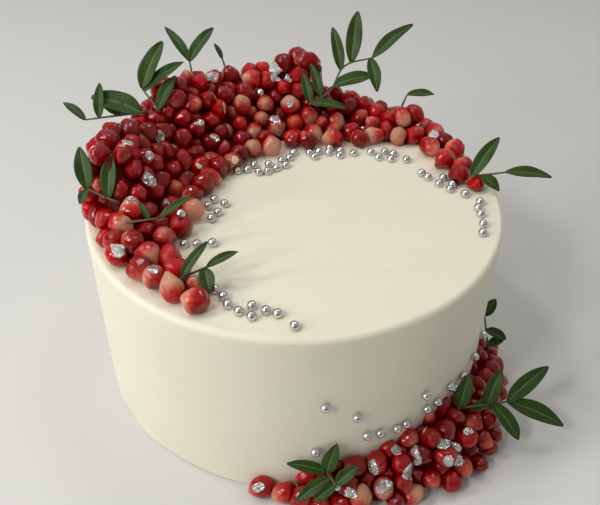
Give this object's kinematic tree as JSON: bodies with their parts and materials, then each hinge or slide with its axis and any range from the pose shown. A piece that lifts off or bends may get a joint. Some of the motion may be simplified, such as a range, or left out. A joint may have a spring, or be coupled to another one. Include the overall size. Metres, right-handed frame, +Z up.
{
  "type": "decorated celebration cake",
  "caption": "Round cream-coated cake with crescent heaps of pomegranate seeds on top and round its foot, leafy sprigs and silver sugar pearls.",
  "frame": {"origin": "on the cake's axis, in the plane it rests on", "axes": "+Z up along the cake's axis; -Y is the front, where the foot heap begins; +X is to the right seen from the front"},
  "size_m": [0.2248, 0.2008, 0.1397],
  "materials": {
    "cream": "smooth satin ivory cream, faintly smeared by the palette knife",
    "pomegranate": "wet glossy ruby, clear to cloudy, with paler pink and cream tips",
    "leaves": "waxy dark green with a paler midrib",
    "silver": "bright silver sugar pearls and crumpled silver leaf"
  },
  "bodies": {
    "root": {"cake": "cream", "pomegranate_top": "pomegranate", "pomegranate_foot": "pomegranate", "sprig_left_back": "leaves", "sprig_left": "leaves", "sprig_left_crest": "leaves", "sprig_far_back": "leaves", "twig_far_back": "leaves", "sprig_back": "leaves", "sprig_back_right": "leaves", "sprig_right": "leaves", "sprig_left_front": "leaves", "sprig_front_left": "leaves", "sprig_foot_right": "leaves", "sprig_foot_far_right": "leaves", "sprig_foot_front": "leaves"}
  },
  "joints": []
}
